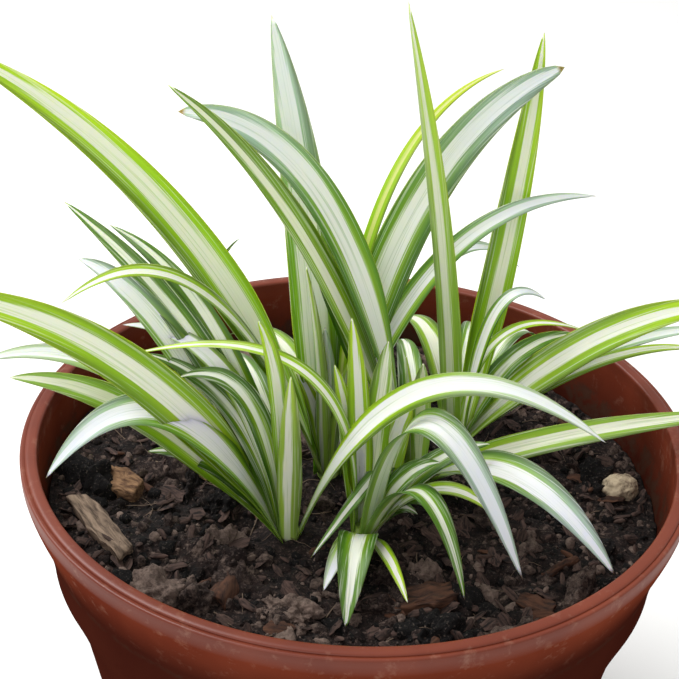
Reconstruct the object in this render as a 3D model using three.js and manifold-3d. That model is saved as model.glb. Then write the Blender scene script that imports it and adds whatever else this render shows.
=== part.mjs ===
// A spider plant (Chlorophytum comosum) of five rosettes, growing in a tiered plastic pot.
// Millimetres, +Z up. The origin is the centre of the pot's flat underside.

import * as THREE from 'three';
import { mergeVertices } from 'three/addons/utils/BufferGeometryUtils.js';
import Module from 'manifold-3d';

const wasm = await Module();
wasm.setup();

// ---- Driving dimensions ----

const POT_HEIGHT = 170;
const RIM_RADIUS = 121;
const MOUTH_RADIUS = 114.8;
const BASE_RADIUS = 87;
const WALL = 2.6;
const FLOOR = 4;
const LIP = 1.5; // height of the rounded inner edge of the mouth
const BEAD_WIDTH = 3.6; // from the rim's outside to the flat of its top
const GROOVE_IN = 1.8; // place and depth of the fine groove round the rim
const GROOVE_DEPTH = 0.9;
const RIM_DROP = 4; // depth below the top where the rim is widest
const RIM_BAND = 18.5; // height of the flared band under the rim
const BAND_RADIUS = 117.2; // where the rim band meets the first tier
const UPPER_TIER = 45; // depth below the rim of the ridge between the first two tiers
const UPPER_TIER_RADIUS = 112.25;
const LOWER_TIER = 75; // depth below the rim where the plain lower tier begins
const LOWER_TIER_RADIUS = 103.3;
const UPPER_HOLLOW = [113, POT_HEIGHT - 31]; // the points that the wall bends towards
const LOWER_HOLLOW = [104.7, POT_HEIGHT - 65];
const FOOT_CHAMFER = 2;
const DRAIN_HOLES = 6;
const DRAIN_RADIUS = 5;
const DRAIN_CIRCLE = 55;
const SIDES = 56; // facets round the pot and the soil
const DRAIN_SIDES = 12;

const GAP = 0.3; // running clearance between pieces that touch
const WALL_GAP = 0.4; // clearance of the soil in the pot

const SOIL_LEVEL = 144.5;
const SOIL_SLOPE_X = -0.027; // the surface falls to the right
const SOIL_SLOPE_Y = -0.01; // and to the back
const RIPPLE = 0.7;
const SOIL_RINGS = [112, 103, 93, 83, 73, 63, 53, 43, 33, 23, 12, 0]; // radii of the surface's rings
const SOIL_SHOULDER = 138; // the wall is followed up to here, and the surface is above it

const COLLAR = 150; // height from which the leaves are measured
const CROWN_TOP = 152;
const CROWN_FOOT = 130;
const CROWN_SIDES = 12;
const HOLE_TOP = 170; // a crown's hole in the soil runs out through the surface
const LEAF_ROOT_DEPTH = 5; // how far the leaves are sunk below the collar
const LEAF_ROOT_OUT = 3;
const LEAF_THICKNESS = 1.2;
const LEAF_CHANNEL = 0.22; // rise of a leaf's edges over its keel, per half width
const LEAF_STEP = 13; // length of one leaf segment
const FEWEST_STATIONS = 5;
const MOST_STATIONS = 14;
const ROOT_FULLNESS = 0.65; // width at the root, as a share of the greatest
const FULL_BY = 0.35; // share of the length by which a leaf is at full width
const TURNED_BY = 0.4; // and by which it has turned through its roll

// ---- Colours ----

const TERRACOTTA_PLASTIC = { color: 0x9c4f36, roughness: 0.45 };
const DARK_SOIL = { color: 0x3a2c28, roughness: 1 };
const LEAF_GREEN = { color: 0x7ba83a, roughness: 0.45 };
const BARK_BROWN = { color: 0x8a5a34, roughness: 0.9 };
const PALE_WOOD = { color: 0xb08a5c, roughness: 0.85 };
const STRAW = { color: 0xc9ad74, roughness: 0.8 };
const STONE = { color: 0xb5a48a, roughness: 0.95 };
const SEEDLING_GREEN = { color: 0x8fbf4a, roughness: 0.5 };

// ---- Solids ----

/** Turns a closed geometry, placed by a matrix, into a solid that can be cut and joined. */
function solidOf(geometry, matrix = new THREE.Matrix4()) {
  const bare = geometry.clone().applyMatrix4(matrix);
  bare.deleteAttribute('normal');
  bare.deleteAttribute('uv');
  const merged = mergeVertices(bare, 1e-4);
  return new wasm.Manifold(new wasm.Mesh({
    numProp: 3,
    vertProperties: new Float32Array(merged.attributes.position.array),
    triVerts: new Uint32Array(merged.index.array),
  }));
}

/** A solid's outer skin alone, so that a hollow sealed inside it is filled. */
function filled(solid) {
  return solid.decompose().reduce((outer, body) => (body.volume() > outer.volume() ? body : outer));
}

/** Turns a solid back into a geometry. */
function geometryOf(solid) {
  const mesh = solid.getMesh();
  const geometry = new THREE.BufferGeometry();
  geometry.setAttribute('position', new THREE.BufferAttribute(mesh.vertProperties, 3));
  geometry.setIndex(new THREE.BufferAttribute(mesh.triVerts, 1));
  geometry.computeVertexNormals();
  return geometry;
}

function namedMesh(name, geometry, finish) {
  const mesh = new THREE.Mesh(geometry, new THREE.MeshStandardMaterial({ ...finish, metalness: 0 }));
  mesh.name = name;
  return mesh;
}

// ---- Pot ----

/** The pot's inner wall from the mouth to the floor, drawn in by a clearance. */
function innerWall(gap) {
  const inset = WALL + gap;
  const wall = new THREE.Path();
  const bend = ([radius, height], endRadius, depth) => {
    wall.quadraticCurveTo(radius - inset, height, endRadius - inset, POT_HEIGHT - depth);
  };
  wall.moveTo(MOUTH_RADIUS - gap, POT_HEIGHT - LIP);
  wall.lineTo(BAND_RADIUS - inset, POT_HEIGHT - RIM_BAND);
  bend(UPPER_HOLLOW, UPPER_TIER_RADIUS, UPPER_TIER);
  bend(LOWER_HOLLOW, LOWER_TIER_RADIUS, LOWER_TIER);
  wall.lineTo(BASE_RADIUS - inset, FLOOR + gap);
  return wall.getPoints(4);
}

/** Half of the pot's section, from the middle of its underside to the middle of its floor. */
function potOutline() {
  const outside = new THREE.Path();
  outside.moveTo(0, 0);
  outside.lineTo(BASE_RADIUS - FOOT_CHAMFER, 0);
  outside.lineTo(BASE_RADIUS, FOOT_CHAMFER);
  outside.lineTo(LOWER_TIER_RADIUS, POT_HEIGHT - LOWER_TIER);
  outside.quadraticCurveTo(...LOWER_HOLLOW, UPPER_TIER_RADIUS, POT_HEIGHT - UPPER_TIER);
  outside.quadraticCurveTo(...UPPER_HOLLOW, BAND_RADIUS, POT_HEIGHT - RIM_BAND);
  outside.quadraticCurveTo(RIM_RADIUS, POT_HEIGHT - 2 * RIM_DROP, RIM_RADIUS, POT_HEIGHT - RIM_DROP);
  outside.lineTo(RIM_RADIUS, POT_HEIGHT - LIP);
  outside.lineTo(RIM_RADIUS - GROOVE_IN / 2, POT_HEIGHT - GROOVE_DEPTH / 2);
  outside.lineTo(RIM_RADIUS - GROOVE_IN, POT_HEIGHT - GROOVE_DEPTH);
  outside.lineTo(RIM_RADIUS - BEAD_WIDTH, POT_HEIGHT);
  outside.lineTo(MOUTH_RADIUS + LIP, POT_HEIGHT);
  return [...outside.getPoints(4), ...innerWall(0), new THREE.Vector2(0, FLOOR)];
}

function makePot() {
  let pot = solidOf(new THREE.LatheGeometry(potOutline(), SIDES).rotateX(Math.PI / 2));
  for (let i = 0; i < DRAIN_HOLES; i += 1) {
    const angle = (i / DRAIN_HOLES) * 2 * Math.PI;
    const drain = new THREE.CylinderGeometry(DRAIN_RADIUS, DRAIN_RADIUS, 4 * FLOOR, DRAIN_SIDES)
      .rotateX(Math.PI / 2)
      .translate(DRAIN_CIRCLE * Math.cos(angle), DRAIN_CIRCLE * Math.sin(angle), 0);
    pot = pot.subtract(solidOf(drain));
  }
  return namedMesh('pot', geometryOf(pot), TERRACOTTA_PLASTIC);
}

// ---- Soil ----

// Clods and hollows of the soil's surface: x, y, height and spread of each.
const MOUNDS = [
  [-66, -43, 5, 13], [-50, -48, 4, 9], [-24, -74, 3, 12], [-40, -26, -6, 11],
  [-95, 8, 3, 14], [-84, -42, 3, 10], [58, -84, 3, 11], [86, -30, 2.5, 12],
  [24, -92, 3, 10], [72, 42, 3, 14], [-58, 62, 3, 16], [4, 84, 3, 15],
  [96, 14, -2, 10], [-20, -98, 2, 12], [46, -54, -2, 9], [-92, 46, -2, 12],
];

/** Height of the soil's surface at a point. */
function soilHeight(x, y) {
  let height = SOIL_LEVEL + SOIL_SLOPE_X * x + SOIL_SLOPE_Y * y;
  height += RIPPLE * (Math.sin(x / 7 + 1) * Math.cos(y / 9) + Math.sin((x + y) / 13));
  for (const [moundX, moundY, rise, spread] of MOUNDS) {
    const distance = ((x - moundX) ** 2 + (y - moundY) ** 2) / spread ** 2;
    height += rise * Math.exp(-distance);
  }
  return height;
}

/** Radius of the wall at a height, on the line of its sampled points. */
function wallRadius(wall, z) {
  const below = wall.findIndex((point) => point.y < z);
  const lower = wall[below];
  const upper = wall[below - 1];
  return THREE.MathUtils.mapLinear(z, lower.y, upper.y, lower.x, upper.x);
}

/** The whole body of soil, before anything is set in it. */
function soilBody() {
  const wall = innerWall(WALL_GAP);
  const sides = wall.filter((point) => point.y < SOIL_SHOULDER).reverse();
  const surface = SOIL_RINGS.map((radius) => new THREE.Vector2(radius, SOIL_LEVEL));
  const outline = [new THREE.Vector2(0, FLOOR + WALL_GAP), ...sides, ...surface];
  const geometry = new THREE.LatheGeometry(outline, SIDES).rotateX(Math.PI / 2);
  const position = geometry.attributes.position;
  for (let i = 0; i < position.count; i += 1) {
    if (position.getZ(i) < SOIL_SHOULDER) continue;
    const x = position.getX(i);
    const y = position.getY(i);
    const z = soilHeight(x, y);
    // The outermost ring is drawn onto the wall at its own height.
    const reach = Math.hypot(x, y);
    const draw = reach > SOIL_RINGS[1] + GAP ? wallRadius(wall, z) / reach : 1;
    position.setXYZ(i, x * draw, y * draw, z);
  }
  return solidOf(geometry);
}

// ---- Leaves ----

// Each rosette has the place of its crown, x and y, and its leaves. A leaf leaves the crown
// toward a compass angle (0 is +X, 90 is +Y) and bends along one smooth arch in that plane:
// it starts at the crown's collar, aims at the corner (out, up) and ends at the tip (out, up).
// wide is its greatest width, aside is how far its tip strays to the left, and roll turns its
// upper face round its own length, in degrees.
// Columns: toward, corner out, corner up, tip out, tip up, wide, aside, roll.
const ROSETTES = {
  rosette_left: {
    crown: [-23, -34],
    crownRadius: 7.2,
    leaves: [
      [188, 43, 84, 114, 98, 17, 0, -58],
      [150, 23, 71, 94, 100, 12, 0, -50],
      [142, 22, 84, 85, 89, 10, 0, -45],
      [155, 48, 85, 83, 84, 12, 0, -50],
      [138, 66, 64, 44, 90, 6, -19, 0],
      [180, 1, 62, 11, 82, 9, 0, -50],
      [153, 14, 79, 68, 61, 8, 0, -35],
      [175, 51, 84, 106, 57, 10, 0, -40],
      [177, 48, 58, 95, 54, 13, 0, -45],
      [190, 42, 90, 82, 27, 14, 0, -40],
      [165, 7, 72, 40, 53, 9, 0, -45],
      [160, 14, 58, 55, 57, 8, 0, -40],
      [170, 25, 45, 62, 42, 9, 0, -40],
      [178, 22, 34, 49, 28, 9, 0, -35],
      [-90, 5, 34, 4, 64, 9, 0, 0],
      [-6, 35, 99, 102, 60, 10, -20, 42],
      [112, 24, 56, 72, 30, 11, 0, 0],
    ],
  },
  rosette_middle: {
    crown: [-10, 6],
    crownRadius: 7.2,
    leaves: [
      [140, 6, 92, 31, 164, 19, 0, -50],
      [190, 45, 121, 122, 164, 17, 0, -55],
      [205, 46, 121, 96, 86, 8, 0, -25],
      [185, 4, 26, 13, 39, 8, 0, -50],
      [80, 4, 36, 9, 66, 11, 0, 20],
      [36, 2, 136, 71, 141, 5, 0, 35],
      [30, 17, 126, 91, 141, 17, 0, 50],
      [27, 29, 108, 109, 90, 9, 0, 45],
      [36, 41, 110, 89, 57, 7, 0, 30],
      [45, 38, 92, 30, 74, 6, 3, 0],
      [50, 10, 74, 35, 85, 7, 0, 30],
      [30, 16, 56, 36, 60, 9, 0, 40],
      [88, 18, 50, 62, 22, 10, 0, 0],
      [125, 22, 58, 74, 18, 12, 0, 0],
      [-40, 4, 28, 9, 50, 10, 0, 0],
      [-110, 3, 30, 8, 62, 10, 0, 0],
      [230, 4, 45, 15, 88, 10, 0, -20],
    ],
  },
  rosette_right: {
    crown: [22, 2],
    crownRadius: 6.3,
    leaves: [
      [192, 35, 112, 87, 154, 12, 0, -50],
      [183, 25, 142, 84, 140, 15, 0, -50],
      [185, 32, 71, 46, 108, 10, 0, -45],
      [-47, 45, 46, 93, 9, 16, 0, 15],
      [-5, 40, 21, 115, 37, 11, 0, 40],
      [95, 20, 48, 62, 20, 11, 0, 0],
      [215, 3, 30, 7, 52, 10, 0, -20],
      [-90, 3, 28, 9, 52, 10, 0, 0],
    ],
  },
  rosette_back: {
    crown: [39, 29],
    crownRadius: 6.3,
    leaves: [
      [236, 14, 82, 53, 182, 12, 0, -10],
      [48, 27, 88, 32, 153, 13, 0, 40],
      [5, 46, 54, 103, 56, 15, 0, 45],
      [8, 46, 44, 98, 42, 9, 0, 30],
      [2, 50, 44, 91, 39, 7, 0, 20],
      [15, 1, 63, 51, 39, 5, 0, 20],
      [12, 6, 77, 31, 56, 7, 0, 25],
      [20, 16, 41, 48, 36, 9, 0, 45],
      [80, 22, 45, 60, 14, 11, 0, 0],
      [112, 24, 52, 66, 12, 12, 0, 0],
      [48, 24, 50, 52, 20, 11, 0, 0],
    ],
  },
  rosette_front: {
    crown: [3, -32],
    crownRadius: 6.3,
    leaves: [
      [170, -1, 93, 85, 57, 6, 0, -20],
      [-42, 15, 104, 68, 15, 16, 0, 10],
      [-56, 32, 66, 58, 8, 10, 0, 0],
      [-96, 24, 24, 52, -2, 14, 0, 0],
      [-72, 22, 12, 47, 3, 6, 0, 0],
      [-108, 20, 14, 42, 3, 8, 0, 0],
      [-130, -44, 42, 28, 1, 9, 0, -10],
      [8, 10, 26, 26, 25, 9, 0, 30],
      [50, 10, 32, 24, 42, 14, 0, 40],
      [0, 10, 14, 19, 5, 7, 0, 20],
      [-15, 19, 32, 28, 4, 9, 0, 10],
      [-25, 24, 40, 50, 20, 10, 0, 0],
      [15, 20, 30, 45, 28, 10, 0, 20],
      [135, 6, 36, 17, 58, 9, 0, -20],
      [112, 6, 44, 18, 74, 10, 0, 0],
      [72, 8, 42, 20, 64, 11, 0, 10],
    ],
  },
};

/** A leaf's width along its length, as a share of its greatest: narrow at the root, blunt at the tip. */
function fullness(t) {
  const swelling = THREE.MathUtils.smoothstep(t, 0, FULL_BY);
  return THREE.MathUtils.lerp(ROOT_FULLNESS, 1, swelling) * (1 - t ** 3) ** 0.8;
}

/** One channelled leaf blade: a ring of edge, keel, edge and underside at each station. */
function leafGeometry([crownX, crownY], leaf) {
  const [toward, cornerOut, cornerUp, tipOut, tipUp, wide, aside, roll] = leaf;
  const heading = THREE.MathUtils.degToRad(toward);
  const ahead = new THREE.Vector3(Math.cos(heading), Math.sin(heading), 0);
  const leftward = new THREE.Vector3(-ahead.y, ahead.x, 0);
  const point = (out, up, left = 0) => new THREE.Vector3(crownX, crownY, COLLAR + up)
    .addScaledVector(ahead, out)
    .addScaledVector(leftward, left);
  const arch = new THREE.QuadraticBezierCurve3(
    point(LEAF_ROOT_OUT, -LEAF_ROOT_DEPTH), point(cornerOut, cornerUp), point(tipOut, tipUp, aside));
  const steps = Math.round(arch.getLength() / LEAF_STEP);
  const stations = THREE.MathUtils.clamp(steps, FEWEST_STATIONS, MOST_STATIONS);

  const positions = [];
  for (let i = 0; i < stations; i += 1) {
    const t = i / stations;
    const centre = arch.getPoint(t);
    const along = arch.getTangent(t);
    const across = leftward.clone().addScaledVector(along, -leftward.dot(along)).normalize();
    const turn = THREE.MathUtils.degToRad(roll) * THREE.MathUtils.smoothstep(t, 0, TURNED_BY);
    across.applyAxisAngle(along, turn);
    const upward = new THREE.Vector3().crossVectors(along, across);
    const half = 0.5 * wide * fullness(t);
    const place = (side, rise) => {
      const corner = centre.clone().addScaledVector(across, side).addScaledVector(upward, rise);
      positions.push(...corner.toArray());
    };
    place(half, LEAF_CHANNEL * half);
    place(0, 0);
    place(-half, LEAF_CHANNEL * half);
    place(0, -LEAF_THICKNESS);
  }
  positions.push(...arch.getPoint(1).toArray());

  // Both faces are split alike, from each edge to the keel of the next station.
  const faces = [0, 3, 1, 3, 2, 1];
  for (let i = 0; i < stations - 1; i += 1) {
    const [left, keel, right, under] = [0, 1, 2, 3].map((corner) => 4 * i + corner);
    const [nextLeft, nextKeel, nextRight, nextUnder] = [4, 5, 6, 7].map((corner) => 4 * i + corner);
    faces.push(left, keel, nextKeel, left, nextKeel, nextLeft);
    faces.push(keel, right, nextKeel, right, nextRight, nextKeel);
    faces.push(right, under, nextUnder, right, nextUnder, nextRight);
    faces.push(under, left, nextUnder, left, nextLeft, nextUnder);
  }
  const last = 4 * (stations - 1);
  const tip = 4 * stations;
  for (let corner = 0; corner < 4; corner += 1) {
    faces.push(last + corner, last + ((corner + 1) % 4), tip);
  }
  const geometry = new THREE.BufferGeometry();
  geometry.setAttribute('position', new THREE.Float32BufferAttribute(positions, 3));
  geometry.setIndex(faces);
  return geometry;
}

/** A rosette's short stock, from which its leaves spring, or with a gap the hole it stands in. */
function crownGeometry({ crown: [x, y], crownRadius }, top = CROWN_TOP, gap = 0) {
  const radius = crownRadius + gap;
  const foot = CROWN_FOOT - gap;
  return new THREE.CylinderGeometry(radius, radius, top - foot, CROWN_SIDES)
    .rotateX(Math.PI / 2)
    .translate(x, y, (top + foot) / 2);
}

function makeRosette(name, rosette) {
  let solid = solidOf(crownGeometry(rosette));
  for (const leaf of rosette.leaves) {
    solid = solid.add(solidOf(leafGeometry(rosette.crown, leaf)));
  }
  return namedMesh(name, geometryOf(filled(solid)), LEAF_GREEN);
}

// ---- What lies on the soil ----

const CURL_START = -0.9; // radians round the curl of bark
const CURL_END = 3.6;

/** A splinter or chip: a tapered block with cut ends; grow widens it on every side. */
function chipGeometry([length, width, thick], grow) {
  const half = length / 2 + grow;
  const side = width / 2 + grow;
  const outline = new THREE.Shape([
    new THREE.Vector2(-half, -0.8 * side), new THREE.Vector2(0.1 * half, -side),
    new THREE.Vector2(half, -0.55 * side), new THREE.Vector2(0.82 * half, 0.9 * side),
    new THREE.Vector2(-0.2 * half, side), new THREE.Vector2(-0.9 * half, 0.5 * side),
  ]);
  const depth = thick + 2 * grow;
  return new THREE.ExtrudeGeometry(outline, { depth, bevelEnabled: false })
    .translate(0, 0, -depth / 2);
}

/** A curl of bark: a strip rolled up to a tube that stays open on its underside. */
function curlGeometry([length, across, thick], grow) {
  const outer = across / 2 + grow;
  const inner = across / 2 - thick - grow;
  const shape = new THREE.Shape();
  shape.absarc(0, 0, outer, CURL_START, CURL_END, false);
  shape.absarc(0, 0, inner, CURL_END, CURL_START, true);
  return new THREE.ExtrudeGeometry(shape, {
    depth: length + 2 * grow, bevelEnabled: false, curveSegments: 8 })
    .translate(0, 0, -length / 2 - grow)
    .rotateX(Math.PI / 2);
}

/** A straw, twig or root: a thin rod of even thickness, bowed to one side. */
function rodGeometry([length, bow, thick], grow) {
  const half = length / 2 + grow;
  const route = new THREE.CatmullRomCurve3([
    new THREE.Vector3(-half, 0, 0), new THREE.Vector3(-0.35 * half, 0.8 * bow, 0),
    new THREE.Vector3(0.4 * half, bow, 0), new THREE.Vector3(half, 0, 0),
  ]);
  const radius = thick / 2 + grow;
  const section = new THREE.Shape();
  section.absarc(0, 0, radius, 0, 2 * Math.PI, false);
  return new THREE.ExtrudeGeometry(section, {
    steps: 6, extrudePath: route, curveSegments: 3, bevelEnabled: false });
}

/** A rough stone: a ball of few faces, flattened and dented. */
function stoneGeometry([length, width, thick], grow) {
  const ball = new THREE.IcosahedronGeometry(0.5, 1);
  const position = ball.attributes.position;
  for (let i = 0; i < position.count; i += 1) {
    const [x, y, z] = [position.getX(i), position.getY(i), position.getZ(i)];
    const dent = 1 + 0.07 * Math.sin(9 * x + 4 * z) * Math.cos(7 * y);
    position.setXYZ(i, x * dent, y * dent, z * dent);
  }
  return ball.scale(length + 2 * grow, width + 2 * grow, thick + 2 * grow);
}

// Each piece: its shape, its size (length, width or bow, thickness), its place x and y, how far
// its middle stands over the soil, and its turn about the upright and its tilt, in degrees.
const LITTER = {
  stone: {
    shape: stoneGeometry,
    size: [15, 12, 11],
    at: [100, 2],
    lift: 2,
    turn: 20,
    tilt: 8,
    finish: STONE,
  },
  bark_block: {
    shape: chipGeometry,
    size: [19, 11, 5],
    at: [-86, -12],
    lift: 2,
    turn: -38,
    tilt: 14,
    finish: BARK_BROWN,
  },
  wood_strip: {
    shape: chipGeometry,
    size: [40, 9, 3],
    at: [-88, -41],
    lift: 1.5,
    turn: -56,
    tilt: 0,
    finish: PALE_WOOD,
  },
  wood_chip: {
    shape: chipGeometry,
    size: [25, 12, 5],
    at: [23, -66],
    lift: 1,
    turn: 18,
    tilt: -8,
    finish: BARK_BROWN,
  },
  chip_right: {
    shape: chipGeometry,
    size: [14, 7, 3],
    at: [61, -66],
    lift: 1,
    turn: -30,
    tilt: 8,
    finish: BARK_BROWN,
  },
  bark_curl: {
    shape: curlGeometry,
    size: [13, 9, 1.6],
    at: [-43, -68],
    lift: 0.5,
    turn: -25,
    tilt: 0,
    finish: PALE_WOOD,
  },
  straw_long: {
    shape: rodGeometry,
    size: [30, 1.5, 1.6],
    at: [-69, 1],
    lift: 0.3,
    turn: -22,
    tilt: 0,
    finish: STRAW,
  },
  straw_short: {
    shape: rodGeometry,
    size: [16, 0.5, 1.4],
    at: [-60, 7],
    lift: 0.3,
    turn: -14,
    tilt: 0,
    finish: STRAW,
  },
  root_twig: {
    shape: rodGeometry,
    size: [27, -5, 2.2],
    at: [-61, -64],
    lift: 0.6,
    turn: 10,
    tilt: 0,
    finish: BARK_BROWN,
  },
  stick: {
    shape: rodGeometry,
    size: [16, 1, 3],
    at: [72, -46],
    lift: 1,
    turn: 40,
    tilt: 0,
    finish: BARK_BROWN,
  },
};

function litterMatrix({ at: [x, y], lift, turn, tilt }) {
  const radians = THREE.MathUtils.degToRad;
  const rotation = new THREE.Euler(radians(tilt), 0, radians(turn), 'ZYX');
  return new THREE.Matrix4()
    .makeRotationFromEuler(rotation)
    .setPosition(x, y, soilHeight(x, y) + lift);
}

function makeLitter(name, piece) {
  const mesh = namedMesh(name, piece.shape(piece.size, 0), piece.finish);
  mesh.applyMatrix4(litterMatrix(piece));
  return mesh;
}

// ---- Seedling ----

const SEEDLING = {
  x: 68, y: 76, stalk: 1.4, height: 15, depth: 8, leafLength: 7, leafWidth: 3, leafThickness: 1.2 };
const SEED_LEAF_RISE = 0.25; // radians

function seedlingStalk(gap = 0) {
  const base = soilHeight(SEEDLING.x, SEEDLING.y) - SEEDLING.depth - gap;
  const length = SEEDLING.depth + SEEDLING.height + gap;
  const radius = SEEDLING.stalk / 2 + gap;
  return new THREE.CylinderGeometry(radius, radius, length, 6)
    .rotateX(Math.PI / 2)
    .translate(SEEDLING.x, SEEDLING.y, base + length / 2);
}

/** A sprout with two seed leaves on a thin stalk. */
function makeSeedling() {
  const top = soilHeight(SEEDLING.x, SEEDLING.y) + SEEDLING.height;
  let solid = solidOf(seedlingStalk());
  for (const side of [-1, 1]) {
    const seedLeaf = new THREE.SphereGeometry(0.5, 8, 6)
      .scale(SEEDLING.leafLength, SEEDLING.leafWidth, SEEDLING.leafThickness)
      .rotateY(-SEED_LEAF_RISE * side)
      .translate(SEEDLING.x + side * 0.42 * SEEDLING.leafLength, SEEDLING.y, top);
    solid = solid.add(solidOf(seedLeaf));
  }
  return namedMesh('seedling', geometryOf(solid), SEEDLING_GREEN);
}

// ---- Assembly ----

function makeSoil() {
  let soil = soilBody();
  for (const rosette of Object.values(ROSETTES)) {
    soil = soil.subtract(solidOf(crownGeometry(rosette, HOLE_TOP, GAP)));
  }
  for (const piece of Object.values(LITTER)) {
    soil = soil.subtract(solidOf(piece.shape(piece.size, GAP), litterMatrix(piece)));
  }
  soil = soil.subtract(solidOf(seedlingStalk(GAP)));
  return namedMesh('soil', geometryOf(soil), DARK_SOIL);
}

const plant = new THREE.Group();
plant.add(makePot(), makeSoil(), makeSeedling());
for (const [name, rosette] of Object.entries(ROSETTES)) plant.add(makeRosette(name, rosette));
for (const [name, piece] of Object.entries(LITTER)) plant.add(makeLitter(name, piece));

export default plant;
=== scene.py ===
"""Dresses the packed spider plant: its striped leaves, its crumbly soil and its moulded pot."""

import math
import random

import bmesh
import bpy
from bpy.props import FloatProperty, FloatVectorProperty, IntProperty, PointerProperty
from mathutils import Euler, Matrix, Vector, noise


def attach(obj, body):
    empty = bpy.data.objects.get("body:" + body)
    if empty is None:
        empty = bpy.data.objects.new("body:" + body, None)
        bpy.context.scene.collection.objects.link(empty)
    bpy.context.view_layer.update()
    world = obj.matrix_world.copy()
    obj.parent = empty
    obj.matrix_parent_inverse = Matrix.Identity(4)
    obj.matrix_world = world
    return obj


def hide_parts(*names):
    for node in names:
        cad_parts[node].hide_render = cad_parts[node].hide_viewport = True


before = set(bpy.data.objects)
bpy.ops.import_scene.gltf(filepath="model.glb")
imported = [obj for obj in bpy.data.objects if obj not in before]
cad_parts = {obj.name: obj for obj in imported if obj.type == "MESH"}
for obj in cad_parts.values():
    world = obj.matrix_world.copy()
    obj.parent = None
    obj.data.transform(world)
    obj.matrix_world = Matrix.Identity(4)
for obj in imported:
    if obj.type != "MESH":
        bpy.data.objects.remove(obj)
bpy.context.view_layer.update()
NOISE_SEED = 4  # without one, noise_vector starts from the clock
noise.seed_set(NOISE_SEED)

bl_info = {
    "name": "Potted Spider Plant",
    "version": (1, 0, 0),
    "blender": (4, 5, 0),
    "location": "3D View > Sidebar > Plant",
    "description": "Builds a spider plant with striped leaves in a terracotta-coloured pot",
    "category": "Object",
}

MM = 0.001
WELD = 0.00001  # points closer than this are one point, in metres

# ---- Shape of the plant, in millimetres, as its solids have it ----

COLLAR = 150  # height from which the leaves are measured
ROOT_DEPTH = 5  # how far the leaves are sunk below the collar
ROOT_OUT = 3
CHANNEL = 0.22  # rise of a leaf's edges over its keel, per half width
ROOT_FULLNESS = 0.65  # width at the root, as a share of the greatest
FULL_BY = 0.35  # share of the length by which a leaf is at full width
TURNED_BY = 0.4  # and by which it has turned through its roll
CROWN_TOP = 149  # a little lower than the solid's, so that the leaf bases hide it
CROWN_FOOT = 130

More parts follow.
